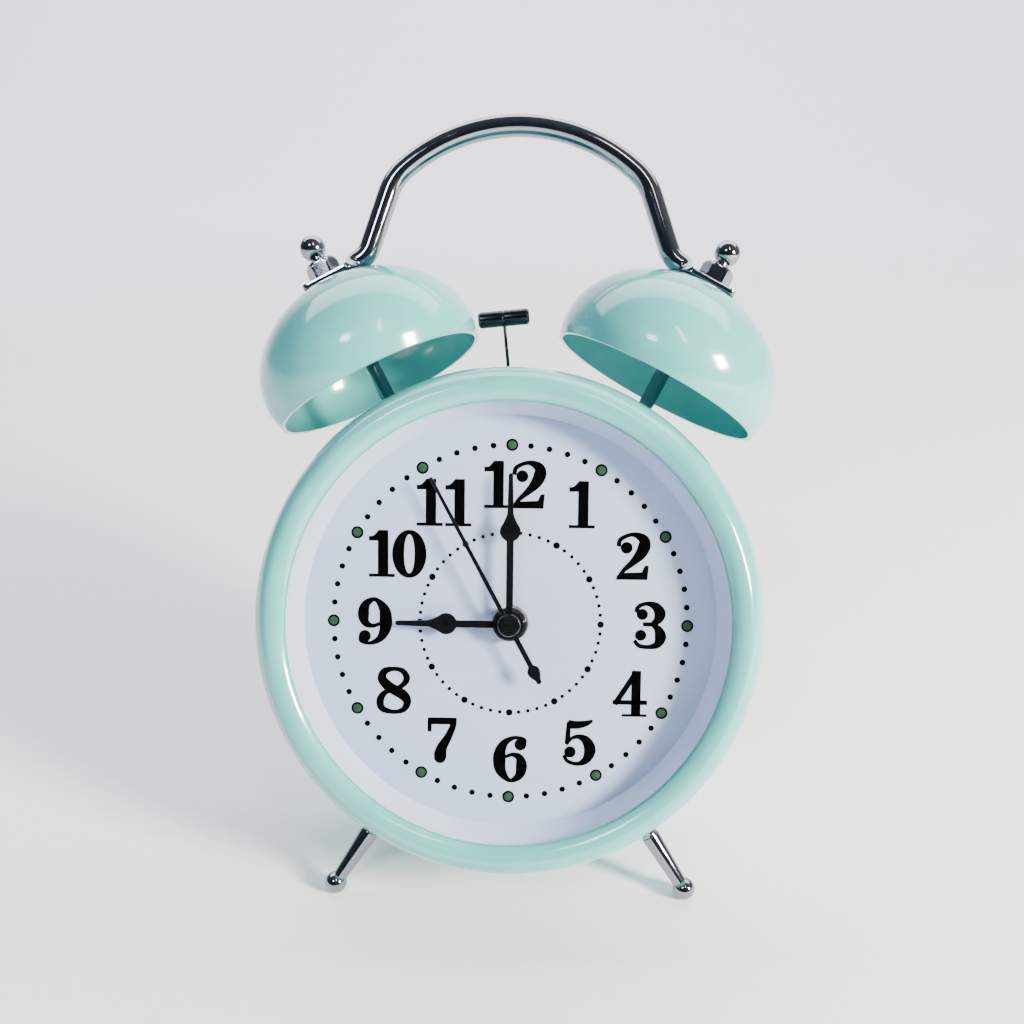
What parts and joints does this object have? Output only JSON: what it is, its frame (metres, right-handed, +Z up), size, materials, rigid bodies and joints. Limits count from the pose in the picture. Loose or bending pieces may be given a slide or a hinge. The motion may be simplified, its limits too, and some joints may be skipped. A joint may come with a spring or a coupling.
{
  "type": "alarm clock",
  "caption": "Twin-bell quartz alarm clock: round drum case on ball feet, bells under a rod handle, swinging hammer, spade hands and rear setting knobs.",
  "frame": {"origin": "on the table, under the middle of the clock's plan", "axes": "+Z up from the table, +X to the right as seen by someone reading the dial, +Y towards the back; the clock leans back as it stands"},
  "size_m": [0.122, 0.0964, 0.1672],
  "materials": {
    "mint_enamel": "gloss",
    "chrome": "polished",
    "clear_lens": "polished",
    "white_plastic": "satin",
    "white_dial": "satin",
    "black_plastic": "fine texture",
    "natural_plastic": "satin",
    "steel": "satin",
    "gunmetal": "satin black",
    "black_hands": "gloss",
    "brass": "satin",
    "copper": "enamelled wire",
    "fibre": "matt",
    "board": "satin",
    "cell_jacket": "gloss"
  },
  "bodies": {
    "case": {"case_drum": "mint_enamel", "front_bezel": "mint_enamel", "front_lens": "clear_lens", "dial_ring": "white_plastic", "dial_plate": "white_dial", "rear_cover": "black_plastic", "case_lugs": "steel", "rear_screws": "steel", "bell_right": "mint_enamel", "bell_left": "mint_enamel", "bell_washer_right": "fibre", "bell_washer_left": "fibre", "bell_post_right": "chrome", "bell_post_left": "chrome", "post_nut_right": "steel", "post_nut_left": "steel", "ball_nut_right": "chrome", "ball_nut_left": "chrome", "handle": "chrome", "leg_right": "chrome", "leg_left": "chrome", "leg_nuts": "steel", "hammer_bracket": "steel", "hammer_pin": "steel", "magnet_core": "steel", "magnet_coil": "copper", "movement_front": "natural_plastic", "movement_back": "natural_plastic", "gear_bridge": "natural_plastic", "stator": "steel", "drive_coil": "copper", "circuit_board": "board", "bush_nut": "brass", "battery": "cell_jacket", "contact_plus": "steel", "contact_minus": "steel"},
    "time_setting": {"time_knob": "black_plastic", "time_shaft": "natural_plastic"},
    "minutes": {"minute_hand": "black_hands", "cannon_pinion": "brass"},
    "motion_work": {"motion_wheel": "natural_plastic"},
    "hours": {"hour_hand": "black_hands", "hour_wheel": "natural_plastic"},
    "seconds": {"second_hand": "black_hands", "hub_cap": "black_hands", "seconds_arbor": "steel"},
    "third": {"third_wheel": "natural_plastic"},
    "centre": {"centre_wheel": "brass"},
    "step": {"step_wheel": "natural_plastic"},
    "rotor": {"rotor": "steel"},
    "alarm_setting": {"alarm_knob": "black_plastic", "alarm_shaft": "natural_plastic"},
    "alarm_indication": {"alarm_hand": "black_hands", "alarm_wheel": "natural_plastic"},
    "hammer": {"hammer_head": "gunmetal", "hammer_wire": "steel", "hammer_armature": "steel"},
    "switch": {"alarm_switch": "white_plastic"},
    "door": {"battery_door": "black_plastic"}
  },
  "joints": [
    {"name": "time_knob_turn", "type": "hinge", "parent": "case", "child": "time_setting", "pos_m": [-0.0186, 0.0079, 0.04796], "axis": [0, 0.9313, -0.3643], "continuous": true},
    {"name": "minute_turn", "type": "hinge", "parent": "case", "child": "minutes", "pos_m": [0, -0.02436, 0.06705], "axis": [0, 0.9313, -0.3643], "continuous": true},
    {"name": "motion_wheel_turn", "type": "hinge", "parent": "case", "child": "motion_work", "pos_m": [-0.01, -0.01486, 0.06333], "axis": [0, 0.9313, -0.3643], "continuous": true},
    {"name": "hour_turn", "type": "hinge", "parent": "case", "child": "hours", "pos_m": [0, -0.02362, 0.06676], "axis": [0, 0.9313, -0.3643], "continuous": true},
    {"name": "seconds_turn", "type": "hinge", "parent": "case", "child": "seconds", "pos_m": [0, -0.02511, 0.06734], "axis": [0, 0.9313, -0.3643], "continuous": true},
    {"name": "third_wheel_turn", "type": "hinge", "parent": "case", "child": "third", "pos_m": [0.0054, -0.00801, 0.07069], "axis": [0, 0.9313, -0.3643], "continuous": true},
    {"name": "centre_wheel_turn", "type": "hinge", "parent": "case", "child": "centre", "pos_m": [0, -0.01281, 0.06253], "axis": [0, 0.9313, -0.3643], "continuous": true},
    {"name": "step_wheel_turn", "type": "hinge", "parent": "case", "child": "step", "pos_m": [-0.003, -0.00608, 0.06548], "axis": [0, 0.9313, -0.3643], "continuous": true},
    {"name": "rotor_turn", "type": "hinge", "parent": "case", "child": "rotor", "pos_m": [-0.00757, -0.00512, 0.06793], "axis": [0, 0.9313, -0.3643], "continuous": true},
    {"name": "alarm_knob_turn", "type": "hinge", "parent": "case", "child": "alarm_setting", "pos_m": [0.01088, 0.00825, 0.04884], "axis": [0, 0.9313, -0.3643], "continuous": true},
    {"name": "alarm_hand_turn", "type": "hinge", "parent": "case", "child": "alarm_indication", "pos_m": [0, -0.02287, 0.06646], "axis": [0, 0.9313, -0.3643], "continuous": true},
    {"name": "hammer_swing", "type": "hinge", "parent": "case", "child": "hammer", "pos_m": [0, 0.01354, 0.09174], "axis": [0, 0.9313, -0.3643], "range_deg": [-0.3, 12.1], "stiffness_Nm_per_rad": 0.005, "springref_deg": 0.41},
    {"name": "alarm_switch_slide", "type": "slide", "parent": "case", "child": "switch", "axis": [1, 0, 0], "range_m": [0, 0.004]},
    {"name": "battery_door_pull", "type": "slide", "parent": "case", "child": "door", "axis": [0, 0.9313, -0.3643], "range_m": [0, 0.02]}
  ],
  "couplings": [
    {"joint": "minute_turn", "follows": "time_knob_turn", "ratio": 1.2},
    {"joint": "motion_wheel_turn", "follows": "time_knob_turn", "ratio": -0.4},
    {"joint": "hour_turn", "follows": "time_knob_turn", "ratio": 0.1},
    {"joint": "third_wheel_turn", "follows": "seconds_turn", "ratio": -0.125},
    {"joint": "centre_wheel_turn", "follows": "seconds_turn", "ratio": 0.016667},
    {"joint": "step_wheel_turn", "follows": "seconds_turn", "ratio": -3},
    {"joint": "rotor_turn", "follows": "seconds_turn", "ratio": 30},
    {"joint": "alarm_hand_turn", "follows": "alarm_knob_turn", "ratio": -0.5}
  ]
}
